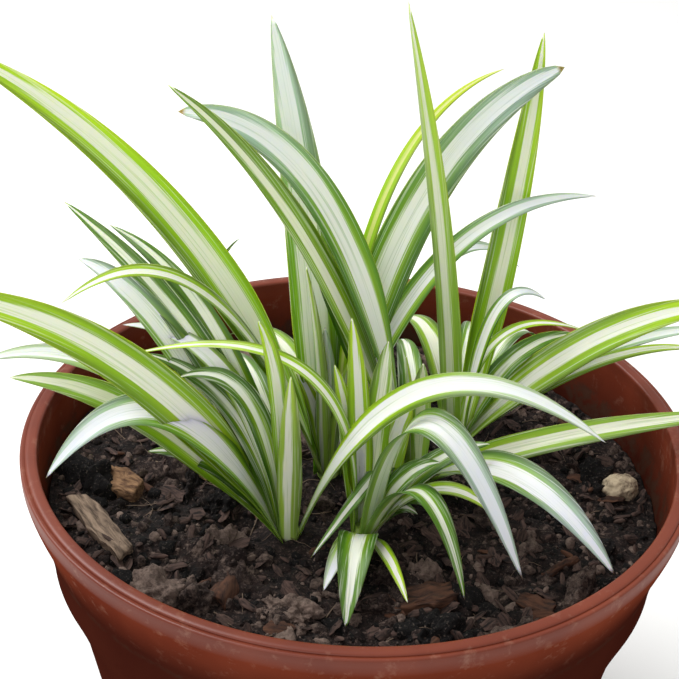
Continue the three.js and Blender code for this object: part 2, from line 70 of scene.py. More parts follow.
# Each rosette has its crown's place and radius, and its leaves. The columns are: toward
# (degrees), corner out and up, tip out and up, wide, aside, roll (degrees) and the leaf's look.
ROSETTES = {
    "rosette_left": ((-23, -34), 7.2, [
        (188, 43, 84, 114, 98, 17, 0, -58, "lime"),
        (150, 23, 71, 94, 100, 12, 0, -50, "deep"),
        (142, 22, 84, 85, 89, 10, 0, -45, "deep"),
        (155, 48, 85, 83, 84, 12, 0, -50, "silver"),
        (138, 66, 64, 44, 90, 6, -19, 0, "deep"),
        (180, 1, 62, 11, 82, 9, 0, -50, "lime"),
        (153, 14, 79, 68, 61, 8, 0, -35, "pale"),
        (175, 51, 84, 106, 57, 10, 0, -40, "pale"),
        (177, 48, 58, 95, 54, 13, 0, -45, "cream"),
        (190, 42, 90, 82, 27, 14, 0, -40, "silver"),
        (165, 7, 72, 40, 53, 9, 0, -45, "deep"),
        (160, 14, 58, 55, 57, 8, 0, -40, "deep"),
        (170, 25, 45, 62, 42, 9, 0, -40, "cream"),
        (178, 22, 34, 49, 28, 9, 0, -35, "deep"),
        (-90, 5, 34, 4, 64, 9, 0, 0, "lime"),
        (-6, 35, 99, 102, 60, 10, -20, 42, "pale"),
        (112, 24, 56, 72, 30, 11, 0, 0, "deep"),
    ]),
    "rosette_middle": ((-10, 6), 7.2, [
        (140, 6, 92, 31, 164, 19, 0, -50, "silver"),
        (190, 45, 121, 122, 164, 17, 0, -55, "lime"),
        (205, 46, 121, 96, 86, 8, 0, -25, "lime"),
        (185, 4, 26, 13, 39, 8, 0, -50, "lime"),
        (80, 4, 36, 9, 66, 11, 0, 20, "pale"),
        (36, 2, 136, 71, 141, 5, 0, 35, "yellow"),
        (30, 17, 126, 91, 141, 17, 0, 50, "worn"),
        (27, 29, 108, 109, 90, 9, 0, 45, "silver"),
        (36, 41, 110, 89, 57, 7, 0, 30, "silver"),
        (45, 38, 92, 30, 74, 6, 3, 0, "deep"),
        (50, 10, 74, 35, 85, 7, 0, 30, "deep"),
        (30, 16, 56, 36, 60, 9, 0, 40, "silver"),
        (88, 18, 50, 62, 22, 10, 0, 0, "deep"),
        (125, 22, 58, 74, 18, 12, 0, 0, "cream"),
        (-40, 4, 28, 9, 50, 10, 0, 0, "lime"),
        (-110, 3, 30, 8, 62, 10, 0, 0, "silver"),
        (230, 4, 45, 15, 88, 10, 0, -20, "lime"),
    ]),
    "rosette_right": ((22, 2), 6.3, [
        (192, 35, 112, 87, 154, 12, 0, -50, "cream"),
        (183, 25, 142, 84, 140, 15, 0, -50, "worn"),
        (185, 32, 71, 46, 108, 10, 0, -45, "deep"),
        (-47, 45, 46, 93, 9, 16, 0, 15, "silver"),
        (-5, 40, 21, 115, 37, 11, 0, 40, "cream"),
        (95, 20, 48, 62, 20, 11, 0, 0, "deep"),
        (215, 3, 30, 7, 52, 10, 0, -20, "lime"),
        (-90, 3, 28, 9, 52, 10, 0, 0, "cream"),
    ]),
    "rosette_back": ((39, 29), 6.3, [
        (236, 14, 82, 53, 182, 12, 0, -10, "lime"),
        (48, 27, 88, 32, 153, 13, 0, 40, "lime"),
        (5, 46, 54, 103, 56, 15, 0, 45, "lime"),
        (8, 46, 44, 98, 42, 9, 0, 30, "silver"),
        (2, 50, 44, 91, 39, 7, 0, 20, "lime"),
        (15, 1, 63, 51, 39, 5, 0, 20, "lime"),
        (12, 6, 77, 31, 56, 7, 0, 25, "silver"),
        (20, 16, 41, 48, 36, 9, 0, 45, "deep"),
        (80, 22, 45, 60, 14, 11, 0, 0, "deep"),
        (112, 24, 52, 66, 12, 12, 0, 0, "cream"),
        (48, 24, 50, 52, 20, 11, 0, 0, "deep"),
    ]),
    "rosette_front": ((3, -32), 6.3, [
        (170, -1, 93, 85, 57, 6, 0, -20, "lime"),
        (-42, 15, 104, 68, 15, 16, 0, 10, "silver"),
        (-56, 32, 66, 58, 8, 10, 0, 0, "deep"),
        (-96, 24, 24, 52, -2, 14, 0, 0, "deep"),
        (-72, 22, 12, 47, 3, 6, 0, 0, "lime"),
        (-108, 20, 14, 42, 3, 8, 0, 0, "pale"),
        (-130, -44, 42, 28, 1, 9, 0, -10, "deep"),
        (8, 10, 26, 26, 25, 9, 0, 30, "deep"),
        (50, 10, 32, 24, 42, 14, 0, 40, "lime"),
        (0, 10, 14, 19, 5, 7, 0, 20, "deep"),
        (-15, 19, 32, 28, 4, 9, 0, 10, "deep"),
        (-25, 24, 40, 50, 20, 10, 0, 0, "lime"),
        (15, 20, 30, 45, 28, 10, 0, 20, "deep"),
        (135, 6, 36, 17, 58, 9, 0, -20, "lime"),
        (112, 6, 44, 18, 74, 10, 0, 0, "lime"),
        (72, 8, 42, 20, 64, 11, 0, 10, "cream"),
    ]),
}

# A look is the colour of a leaf's margins near its base and near its tip, the same of its
# stripe, the stripe's share of the half width, and how much of the length is dry at the tip.
# On the silver, pale and worn looks the grey-blue of the margins near the tip is a painted
# reflection of the sky's sheen. Their stripe is a little darker at the tip, a painted shade that
# holds back the brightest light on the arches.
LOOKS = {
    # The lime look's bright yellow green is partly the leaf's own fresh green and partly painted
    # backlight, for leaves that light shines through.
    "lime": ("#84AC06", "#A2C11C", "#E9EDDC", "#E4E8DA", 0.36, 0.004),
    "deep": ("#467406", "#547C1C", "#E0E7D4", "#DEE4D2", 0.3, 0.008),
    "cream": ("#729A08", "#799836", "#E3E9CE", "#DEE3CC", 0.36, 0.006),
    "pale": ("#7EA60C", "#B2C4A4", "#E9EEE4", "#DBE1DE", 0.6, 0.004),
    "silver": ("#598C0A", "#A2B6A8", "#E8ECE4", "#DEE4E4", 0.52, 0.008),
    "yellow": ("#9AC40E", "#C0D432", "#DAE484", "#DEE49A", 0.26, 0.004),
    "worn": ("#548808", "#9DB3A6", "#E7ECE2", "#DFE5E5", 0.46, 0.02),
}

SOIL_LEVEL = 144.5
SOIL_SLOPE_X = -0.027
SOIL_SLOPE_Y = -0.01
RIPPLE = 0.7
# Clods and hollows of the soil's surface: x, y, height and spread of each.
MOUNDS = [
    (-66, -43, 5, 13), (-50, -48, 4, 9), (-24, -74, 3, 12), (-40, -26, -6, 11),
    (-95, 8, 3, 14), (-84, -42, 3, 10), (58, -84, 3, 11), (86, -30, 2.5, 12),
    (24, -92, 3, 10), (72, 42, 3, 14), (-58, 62, 3, 16), (4, 84, 3, 15),
    (96, 14, -2, 10), (-20, -98, 2, 12), (46, -54, -2, 9), (-92, 46, -2, 12),
]


# ---- Sizes and colours that a user would change ----

def linear(colour):
    """An sRGB hex colour as linear red, green, blue and alpha."""
    parts = [int(colour[i:i + 2], 16) / 255 for i in (1, 3, 5)]
    return [p / 12.92 if p <= 0.04045 else ((p + 0.055) / 1.055) ** 2.4 for p in parts] + [1.0]


def colour_property(name, description, default):
    """A colour that the user picks, given as an sRGB hex default."""
    return FloatVectorProperty(
        name=name, description=description, subtype="COLOR", size=4, min=0, max=1,
        default=linear(default))


def length_property(name, description, default):
    """A length in metres, given as a default in millimetres."""
    return FloatProperty(
        name=name, description=description, subtype="DISTANCE", unit="LENGTH",
        default=default * MM)


class PotSettings(bpy.types.PropertyGroup):
    """Sizes and colours of the pot."""

    height: length_property("Height", "Height of the pot", 170)
    rim_radius: length_property("Rim radius", "Greatest radius of the rim", 121)
    mouth_radius: length_property("Mouth radius", "Radius of the opening", 114.8)
    base_radius: length_property("Base radius", "Radius of the underside", 87)
    wall: length_property("Wall", "Thickness of the wall", 2.6)
    floor: length_property("Floor", "Thickness of the floor", 4)
    drain_radius: length_property("Drain hole radius", "Radius of a drain hole", 5)
    drain_circle: length_property("Drain circle", "Radius of the circle of drain holes", 55)
    drains: IntProperty(name="Drain holes", description="Number of drain holes", default=6)
    colour: colour_property("Colour", "Terracotta brown of the plastic", "#7A3926")
    shade: colour_property("Darker patches", "Brown of the darker patches", "#662C1D")
    # Painted shade: the dark brown that the wall below the rim is darkened to.
    under_rim_shade: colour_property("Stain", "Dark brown of the stained lower wall", "#2C110D")
    grime: colour_property("Grime", "Soil smeared on the inside of the wall", "#3B281F")
    dust: colour_property("Dust", "Dried soil and lime on the plastic", "#A8806C")


class SoilSettings(bpy.types.PropertyGroup):
    """Lumps and colours of the potting soil."""

    lumps: IntProperty(name="Lumps", description="Number of the largest lumps", default=27)
    clods: IntProperty(name="Clods", description="Number of clods", default=99)
    crumbs: IntProperty(name="Crumbs", description="Number of crumbs", default=1100)
    grains: IntProperty(name="Grains", description="Number of fine grains", default=3000)
    flakes: IntProperty(name="Flakes", description="Number of rotted bark flakes", default=560)
    scraps: IntProperty(name="Bark scraps", description="Number of bark scraps", default=40)
    fibres: IntProperty(name="Fibres", description="Number of root fibres", default=110)
    dark: colour_property("Damp soil", "Near black of damp soil", "#0A0707")
    brown: colour_property("Soil", "Brown of the crumbs", "#281D1A")
    light: colour_property("Dry soil", "Grey brown of the dry crumbs", "#7C6A60")
    sand: colour_property("Sand", "Grains of sand in the soil", "#93847A")


class LeafSettings(bpy.types.PropertyGroup):
    """Thickness and details of the leaves."""

    thickness: length_property("Thickness", "Thickness of a leaf along its keel", 0.9)
    vein_spacing: length_property("Vein spacing", "Distance between the fine veins", 0.55)
    inner: colour_property("Inner margin", "Yellow green beside the stripe", "#A0BE1C")
    root: colour_property("Leaf base", "Pale green of the leaf bases", "#8FAF45")
    dry: colour_property("Dry tip", "Brown of the dry tips", "#8A6A48")
    underside: colour_property("Underside", "Waxy bloom on the undersides", "#BCCB98")


class LitterSettings(bpy.types.PropertyGroup):
    """Colours of the bark, wood, straw and stone on the soil."""

    bark: colour_property("Bark", "Tan of the dry bark", "#8A6A4C")
    bark_dark: colour_property("Bark furrows", "Brown in the dry bark's furrows", "#452E20")
    damp: colour_property("Damp bark", "Red brown of the damp bark", "#563828")
    damp_dark: colour_property("Damp furrows", "Dark brown in its furrows", "#261813")
    rotted: colour_property("Rotted bark", "Grey brown of the rotted bark flakes", "#54413A")
    wood: colour_property("Wood", "Grey brown of the weathered wood", "#8C7866")
    wood_dark: colour_property("Wood grain", "Brown of the wood's grain", "#43362C")
    straw: colour_property("Straw", "Pale yellow brown of the straw", "#C6A973")
    stone: colour_property("Stone", "Beige of the stone", "#B8A78C")
    stone_dark: colour_property("Stone pits", "Grey brown of the stone's pits", "#6C5D4C")
    seedling: colour_property("Seedling", "Fresh green of the seedling", "#86B545")


class StageSettings(bpy.types.PropertyGroup):
    """Floor, camera and lights."""

    view_angle: FloatProperty(
        name="View angle", description="Field of view of the camera", subtype="ANGLE",
        default=math.radians(28))
    elevation: FloatProperty(
        name="Elevation", description="How far the camera looks down", subtype="ANGLE",
        default=math.radians(30.3))
    camera_roll: FloatProperty(
        name="Roll", description="How far the camera leans over", subtype="ANGLE",
        default=math.radians(2))
    distance: length_property("Distance", "From the camera to the middle of the plant", 552)
    floor_colour: colour_property("Floor", "Pale floor", "#F6F6F4")
    key_power: FloatProperty(
        name="Key light", description="Power of the main light", unit="POWER", default=22)
    fill_power: FloatProperty(
        name="Fill light", description="Power of the fill light", unit="POWER", default=4)
    sky: FloatProperty(name="Sky", description="Strength of the soft light all round", default=0.72)


# ---- Helpers ----

def add(tree, kind, inputs=None, **settings):
    """Adds a node with its settings. An input given as a node takes its first live output."""
    node = tree.nodes.new("ShaderNode" + kind)
    for name, value in settings.items():
        setattr(node, name, value)
    for key, value in (inputs or {}).items():
        if isinstance(value, bpy.types.Node):
            value = next(output for output in value.outputs if output.enabled)
        if isinstance(value, bpy.types.NodeSocket):
            tree.links.new(value, node.inputs[key])
        else:
            node.inputs[key].default_value = value
    return node


def new_material(name):
    """A material with an empty node tree."""
    material = bpy.data.materials.new(name)
    material.use_nodes = True
    material.node_tree.nodes.clear()
    return material, material.node_tree


def smoothstep(value):
    """A soft step from 0 to 1."""
    value = min(max(value, 0.0), 1.0)
    return value * value * (3 - 2 * value)


def lerp(low, high, share):
    """The value that lies a share of the way from low to high."""
    return low + (high - low) * share


def close_mesh(shape):
    """Welds the seams of a bmesh, closes its ends and turns its faces outwards."""
    bmesh.ops.remove_doubles(shape, verts=shape.verts[:], dist=WELD)
    bmesh.ops.dissolve_degenerate(shape, edges=shape.edges[:], dist=WELD)
    rims = [edge for edge in shape.edges if edge.is_boundary]
    if rims:
        bmesh.ops.holes_fill(shape, edges=rims, sides=0)
    bmesh.ops.recalc_face_normals(shape, faces=shape.faces[:])


def mesh_of(shape, name):
    """Turns a bmesh into a mesh and lets the bmesh go."""
    mesh = bpy.data.meshes.new(name)
    shape.to_mesh(mesh)
    shape.free()
    return mesh


def finished(shape, name, material, slot, *nodes, sharp=None):
    """Makes a bmesh into a piece of the plant that stands for the given nodes."""
    mesh = mesh_of(shape, name)
    mesh.polygons.foreach_set("use_smooth", [True] * len(mesh.polygons))
    if sharp is not None:
        mesh.set_sharp_from_angle(angle=sharp)
    mesh.materials.append(material)
    piece = bpy.data.objects.new(name, mesh)
    bpy.context.scene.collection.objects.link(piece)
    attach(piece, "root")
    if nodes:
        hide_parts(*nodes)
    return piece


def bend(start, corner, end, share):
    """A point of a quadratic curve from start towards corner to end."""
    return start * (1 - share) ** 2 + corner * 2 * share * (1 - share) + end * share ** 2


# ---- Pot ----

# The pot's profile in millimetres, with its depths below the rim.
RIM_BAND = 18.5  # depth of the flared band under the rim
BAND_RADIUS = 117.2
UPPER_TIER = 45
UPPER_TIER_RADIUS = 112.25
LOWER_TIER = 75
LOWER_TIER_RADIUS = 103.3
LIP = 1.5  # height of the rounded inner edge of the mouth
RIM_DROP = 4  # depth at which the rim is widest
BEAD_WIDTH = 3.6  # from the rim's outside to the flat of its top
GROOVE_IN = 1.8  # place and depth of the fine groove round the rim
GROOVE_DEPTH = 0.9
FOOT_CHAMFER = 2
UPPER_HOLLOW = (113, 31)  # radius, and depth below the rim, that the wall bends towards
LOWER_HOLLOW = (104.7, 65)
SHOULDER_BULGE = 0.1  # how far the rim's outer edge leans in over its groove
BEND_POINTS = 12
POT_STEPS = 240  # faces round the pot
POT_CREASE = math.radians(40)
DRAIN_SIDES = 32


def curve_points(start, corner, end):
    """Points along a quadratic curve, without its start."""
    points = [Vector(start), Vector(corner), Vector(end)]
    return [bend(*points, i / BEND_POINTS) for i in range(1, BEND_POINTS + 1)]


def wall_section(inset, mouth, height):
    """The pot's wall from the rim band down to the lower tier, drawn in by an inset."""
    band = (BAND_RADIUS - inset, height - RIM_BAND)
    upper = (UPPER_TIER_RADIUS - inset, height - UPPER_TIER)
    lower = (LOWER_TIER_RADIUS - inset, height - LOWER_TIER)
    return [
        Vector(mouth), Vector(band),
        *curve_points(band, (UPPER_HOLLOW[0] - inset, height - UPPER_HOLLOW[1]), upper),
        *curve_points(upper, (LOWER_HOLLOW[0] - inset, height - LOWER_HOLLOW[1]), lower),
    ]


def inner_section(pot, gap=0.0):
    """The inside of the pot from its mouth to its floor."""
    wall = pot.wall / MM + gap
    height = pot.height / MM
    section = wall_section(wall, (pot.mouth_radius / MM - gap, height - LIP), height)
    return section + [Vector((pot.base_radius / MM - wall, pot.floor / MM + gap))]


def radius_at(section, height):
    """Radius of a section at a height."""
    for upper, lower in zip(section, section[1:]):
        if lower.y <= height <= upper.y:
            return lerp(lower.x, upper.x, (height - lower.y) / (upper.y - lower.y))
    return section[-1].x


def pot_section(pot):
    """Half of the pot's section, from the middle of its underside to the middle of its floor."""
    height = pot.height / MM
    rim = pot.rim_radius / MM
    base = pot.base_radius / MM
    mouth = pot.mouth_radius / MM
    outside = wall_section(0, (BAND_RADIUS, height - RIM_BAND), height)[1:]
    foot = [Vector((0, 0)), Vector((base - FOOT_CHAMFER, 0)), Vector((base, FOOT_CHAMFER))]
    flare = curve_points(
        (BAND_RADIUS, height - RIM_BAND), (rim, height - 2 * RIM_DROP), (rim, height - RIM_DROP))
    groove = (rim - GROOVE_IN, height - GROOVE_DEPTH)
    shoulder = curve_points(
        (rim, height - LIP), (rim - SHOULDER_BULGE, height - GROOVE_DEPTH / 3), groove)
    bead_out = curve_points(groove, (rim - GROOVE_IN, height), (rim - BEAD_WIDTH, height))
    bead_in = curve_points((mouth + LIP, height), (mouth, height), (mouth, height - LIP))
    inside = inner_section(pot)
    return [
        *foot, *reversed(outside), *flare, *shoulder, *bead_out,
        Vector((mouth + LIP, height)), *bead_in, *inside[1:], Vector((0, pot.floor / MM)),
    ]


def moulded_polypropylene(pot):
    """Polypropylene, injection moulded: a satin skin with faint mottling, dust and scuffs, and
    painted shade darkening the wall below the rim.
    """
    material, tree = new_material("moulded_polypropylene")
    place = add(tree, "TexCoord").outputs["Object"]
    patches = add(tree, "TexNoise", {
        "Vector": place, "Scale": 1 / (45 * MM), "Detail": 3.0, "Roughness": 0.55})
    patchy = add(tree, "MapRange", {"Value": patches, "From Min": 0.35, "From Max": 0.68})
    fresh = add(tree, "Mix", {
        0: patchy, 6: pot.colour, 7: pot.shade}, data_type="RGBA")
    # Below the rim the wall is darkened downwards to a dark brown: this is painted shade.
    axes = add(tree, "SeparateXYZ", {"Vector": place})
    height = pot.height
    below = add(tree, "MapRange", {
        "Value": axes.outputs["Z"], "From Min": height - 6 * MM, "From Max": height - 26 * MM,
        "To Max": 0.85})
    plastic = add(tree, "Mix", {0: below, 6: fresh, 7: pot.under_rim_shade}, data_type="RGBA")
    # Dust clings to the top of the rim and, with splashes of soil, to the inside of the wall.
    splash = add(tree, "TexNoise", {
        "Vector": place, "Scale": 1 / (7 * MM), "Detail": 5.0, "Roughness": 0.7})
    near_rim = add(tree, "MapRange", {
        "Value": axes.outputs["Z"], "From Min": height - 30 * MM, "From Max": height - 4 * MM})
    radius = add(tree, "VectorMath", {
        0: add(tree, "VectorMath", {0: place, 1: (1, 1, 0)}, operation="MULTIPLY")},
        operation="LENGTH")
    inside = add(tree, "MapRange", {
        "Value": radius, "From Min": 114.7 * MM, "From Max": 114.2 * MM})
    speckle = add(tree, "MapRange", {"Value": splash, "From Min": 0.56, "From Max": 0.74})
    dusty = add(tree, "Math", {0: speckle, 1: near_rim}, operation="MULTIPLY")
    faint = add(tree, "Math", {0: dusty, 1: 0.35}, operation="MULTIPLY")
    dusted = add(tree, "Mix", {0: faint, 6: plastic, 7: pot.dust}, data_type="RGBA")
    grime_share = add(tree, "MapRange", {
        "Value": splash, "From Min": 0.42, "From Max": 0.56, "To Max": 0.8})
    above_soil = add(tree, "MapRange", {
        "Value": axes.outputs["Z"], "From Min": height - 31 * MM, "From Max": height - 28 * MM})
    open_wall = add(tree, "Math", {0: inside, 1: above_soil}, operation="MULTIPLY")
    grimy = add(tree, "Math", {0: grime_share, 1: open_wall}, operation="MULTIPLY")
    coloured = add(tree, "Mix", {0: grimy, 6: dusted, 7: pot.grime}, data_type="RGBA")
    # The mould's fine grain is about 0.3 mm, drawn at 0.8 mm so that it shows.
    grain = add(tree, "TexNoise", {"Vector": place, "Scale": 1 / (0.8 * MM), "Detail": 2.0})
    scuffs = add(tree, "TexNoise", {
        "Vector": add(tree, "Mapping", {"Vector": place, "Scale": (1, 1, 6)}),
        "Scale": 1 / (18 * MM), "Detail": 6.0, "Roughness": 0.75})
    worn = add(tree, "MapRange", {
        "Value": scuffs, "From Min": 0.3, "From Max": 0.7, "To Min": 0.32, "To Max": 0.44})
    roughness = add(tree, "Math", {0: below, 1: 0.28, 2: worn}, operation="MULTIPLY_ADD")
    bump = add(tree, "Bump", {"Height": grain, "Strength": 0.25, "Distance": 0.08 * MM})
    # Handling has polished the rim, and the wall below it is dull.
    polish = add(tree, "MapRange", {
        "Value": axes.outputs["Z"], "From Min": height - 7.5 * MM, "From Max": height - 3 * MM,
        "To Max": 0.6})
    shader = add(tree, "BsdfPrincipled", {
        "Base Color": coloured, "Roughness": roughness, "Normal": bump, "IOR": 1.49,
        "Specular IOR Level": 0.0, "Coat Weight": polish, "Coat Roughness": 0.34, "Coat IOR": 1.49})
    add(tree, "OutputMaterial", {"Surface": shader})
    return material


class PLANT_OT_turn_pot(bpy.types.Operator):
    """Turn the pot from its section, and drill its drain holes"""

    bl_idname = "plant.turn_pot"
    bl_label = "Turn Pot"

    def execute(self, context):
        pot = context.scene.plant_pot
        shape = bmesh.new()
        corners = [shape.verts.new((p.x * MM, 0, p.y * MM)) for p in pot_section(pot)]
        line = [shape.edges.new(pair) for pair in zip(corners, corners[1:])]
        bmesh.ops.spin(
            shape, geom=corners + line, cent=(0, 0, 0), axis=(0, 0, 1), dvec=(0, 0, 0),
            angle=math.tau, steps=POT_STEPS, use_merge=True)
        close_mesh(shape)
        piece = finished(
            shape, "pot_shell", moulded_polypropylene(pot), "terracotta_plastic", "pot",
            sharp=POT_CREASE)
        self.drill(context, piece, pot)
        return {"FINISHED"}

    def drill(self, context, piece, pot):
        """Cuts the drain holes out of the floor."""
        shape = bmesh.new()
        for i in range(pot.drains):
            angle = math.tau * i / pot.drains
            middle = Vector((math.cos(angle), math.sin(angle), 0)) * pot.drain_circle
            bmesh.ops.create_cone(
                shape, cap_ends=True, segments=DRAIN_SIDES, radius1=pot.drain_radius,
                radius2=pot.drain_radius, depth=4 * pot.floor, matrix=Matrix.Translation(middle))
        drains = bpy.data.objects.new("drains", mesh_of(shape, "drains"))
        context.scene.collection.objects.link(drains)
        cut = piece.modifiers.new("drains", "BOOLEAN")
        cut.object = drains
        cut.operation = "DIFFERENCE"
        cut.solver = "EXACT"
        graph = context.evaluated_depsgraph_get()
        cut_mesh = bpy.data.meshes.new_from_object(piece.evaluated_get(graph))
        piece.modifiers.clear()
        piece.data = cut_mesh
        bpy.data.objects.remove(drains)


# ---- Soil ----

ROUGH_GROUND = [(9, 1.5), (4.2, 1.1), (2.1, 0.55)]  # size and height of each roughness, in mm
SOIL_STEPS = 400  # faces round the surface
SOIL_ROWS = 110  # and from its middle to the wall
WALL_GAP = 0.4  # between the soil and the pot


def soil_height(x, y):
    """Height of the soil's smooth surface at a point, in millimetres."""
    height = SOIL_LEVEL + SOIL_SLOPE_X * x + SOIL_SLOPE_Y * y
    height += RIPPLE * (math.sin(x / 7 + 1) * math.cos(y / 9) + math.sin((x + y) / 13))
    for mound_x, mound_y, rise, spread in MOUNDS:
        distance = ((x - mound_x) ** 2 + (y - mound_y) ** 2) / spread ** 2
        height += rise * math.exp(-distance)
    return height


def rough_height(x, y):
    """Height of the crumbly surface at a point, in millimetres."""
    height = soil_height(x, y)
    for size, rise in ROUGH_GROUND:
        height += rise * noise.noise(Vector((x / size, y / size, size)))
    return height


def potting_soil(soil, name, tinted):
    """Peat and bark compost: crumbs from near black, where damp, to a dry grey brown."""
    material, tree = new_material(name)
    place = add(tree, "TexCoord").outputs["Object"]
    broad = add(tree, "TexNoise", {"Vector": place, "Scale": 1 / (16 * MM), "Detail": 2.0})
    crumbs = add(tree, "TexNoise", {
        "Vector": place, "Scale": 1 / (2.4 * MM), "Detail": 6.0, "Roughness": 0.7})
    mixed = add(tree, "Mix", {0: 0.3, 2: crumbs, 3: broad}, data_type="FLOAT")
    if tinted:
        tint = add(tree, "Attribute", attribute_name="tint")
        mixed = add(tree, "Mix", {0: 0.4, 2: mixed, 3: tint.outputs["Fac"]}, data_type="FLOAT")
    ramp = add(tree, "ValToRGB", {"Fac": mixed})
    ramp.color_ramp.elements[0].position = 0.41
    ramp.color_ramp.elements[0].color = soil.dark
    ramp.color_ramp.elements[1].position = 0.7
    ramp.color_ramp.elements[1].color = soil.light
    ramp.color_ramp.elements.new(0.55).color = soil.brown
    # Sand in the compost is about 0.4 mm, drawn at 0.9 mm so that it shows.
    sand = add(tree, "TexNoise", {"Vector": place, "Scale": 1 / (0.9 * MM), "Detail": 2.0})
    specks = add(tree, "MapRange", {
        "Value": sand, "From Min": 0.6, "From Max": 0.72, "To Max": 0.24})
    sandy = add(tree, "Mix", {0: specks, 6: ramp, 7: soil.sand}, data_type="RGBA")
    grit = add(tree, "Math", {0: sand, 1: 0.5, 2: crumbs}, operation="MULTIPLY_ADD")
    bump = add(tree, "Bump", {"Height": grit, "Strength": 1.0, "Distance": 1.3 * MM})
    shader = add(tree, "BsdfPrincipled", {
        "Base Color": sandy, "Roughness": 0.92, "Normal": bump, "Specular IOR Level": 0.25})
    add(tree, "OutputMaterial", {"Surface": shader})
    return material


class PLANT_OT_lay_soil(bpy.types.Operator):
    """Fill the pot with soil and roughen its surface"""

    bl_idname = "plant.lay_soil"
    bl_label = "Lay Soil"

    def execute(self, context):
        wall = inner_section(context.scene.plant_pot, WALL_GAP)
        below = [point for point in wall if point.y < SOIL_LEVEL - 2 * sum(
            rise for _, rise in ROUGH_GROUND)]
        rows = SOIL_ROWS + len(below) + 1
        shape = bmesh.new()
        made = bmesh.ops.create_grid(shape, x_segments=SOIL_STEPS, y_segments=rows, size=1)
        for vert in made["verts"]:
            angle = math.pi * vert.co.x
            row = round((vert.co.y + 1) / 2 * rows)
            if row <= SOIL_ROWS:
                radius, height = self.surface(wall, angle, row / SOIL_ROWS)
            elif row <= SOIL_ROWS + len(below):
                radius, height = below[row - SOIL_ROWS - 1]
            else:
                radius, height = 0, below[-1].y
            vert.co = Vector((radius * math.cos(angle), radius * math.sin(angle), height)) * MM
        close_mesh(shape)
        material = potting_soil(context.scene.plant_soil, "damp_potting_soil", tinted=False)
        finished(shape, "soil_bed", material, "potting_soil", "soil")
        return {"FINISHED"}

    @staticmethod
    def surface(wall, angle, share):
        """Radius and height of the surface, a share of the way out to the wall."""
        edge = radius_at(wall, SOIL_LEVEL)
        height = rough_height(edge * share * math.cos(angle), edge * share * math.sin(angle))
        return min(edge, radius_at(wall, height)) * share, height


# ---- Leaves ----

LEAF_STATIONS = 44  # faces along a blade
LEAF_ROUND = 20  # and round its section
LEAF_SEED = 11
TIPS = {"sound": (3, 0.8), "worn": (3.2, 0.58)}  # how abruptly and how fully a blade ends
SHADES = 0.85, 1.15  # how far a leaf's colours and stripe stray from its look
WAVES = 0.01, 0.03  # height of a blade's waves, as a share of its half width
WAVE_TURNS = 9  # radians of wave along a leaf
STRIPE_ASIDE = 0.16  # how far the stripe may lie off the keel
TIP_THICKNESS = 0.55  # as a share of the thickness at the root
KEEL_CURVE = 1.4  # how much the channel curves up at its edges
UNDERSIDE_FROM = -0.01  # height round the section below which a point is on the underside
CROWN_SIDES = 24
CROWN_TAPER = 0.45  # radius of a crown's top, as a share of its foot
CROWN_STRIPE = 0.4  # as a leaf's stripe, a share of its half width
CROWN_MARGIN_COLOUR = "#5F7A38"
CROWN_STRIPE_COLOUR = "#93A25E"
# Over these shares the silver, pale and worn leaves take on their painted grey-blue sheen.
GREEN_UNTIL = 0.45  # shares of the length between which a leaf's base colours turn to its tip's
SILVER_FROM = 0.88


def leaf_frame(crown, leaf, share):
    """Middle, sideways and upward direction and half width of a leaf at a share of its length."""
    toward, corner_out, corner_up, tip_out, tip_up, wide, aside, roll = leaf[:8]
    heading = math.radians(toward)
    ahead = Vector((math.cos(heading), math.sin(heading), 0))
    leftward = Vector((-ahead.y, ahead.x, 0))
    foot = Vector((crown[0], crown[1], COLLAR))
    upright = Vector((0, 0, 1))
    root = foot + ahead * ROOT_OUT - upright * ROOT_DEPTH
    corner = foot + ahead * corner_out + upright * corner_up
    tip = foot + ahead * tip_out + upright * tip_up + leftward * aside
    middle = bend(root, corner, tip, share)
    along = ((corner - root) * (1 - share) + (tip - corner) * share).normalized()
    across = (leftward - along * leftward.dot(along)).normalized()
    turn = math.radians(roll) * smoothstep(share / TURNED_BY)
    across.rotate(Matrix.Rotation(turn, 3, along))
    swelling = lerp(ROOT_FULLNESS, 1, smoothstep(share / FULL_BY))
    bluntness, fullness = TIPS["worn" if leaf[8] == "worn" else "sound"]
    half = wide / 2 * swelling * (1 - share ** bluntness) ** fullness
    return middle, across, along.cross(across), half


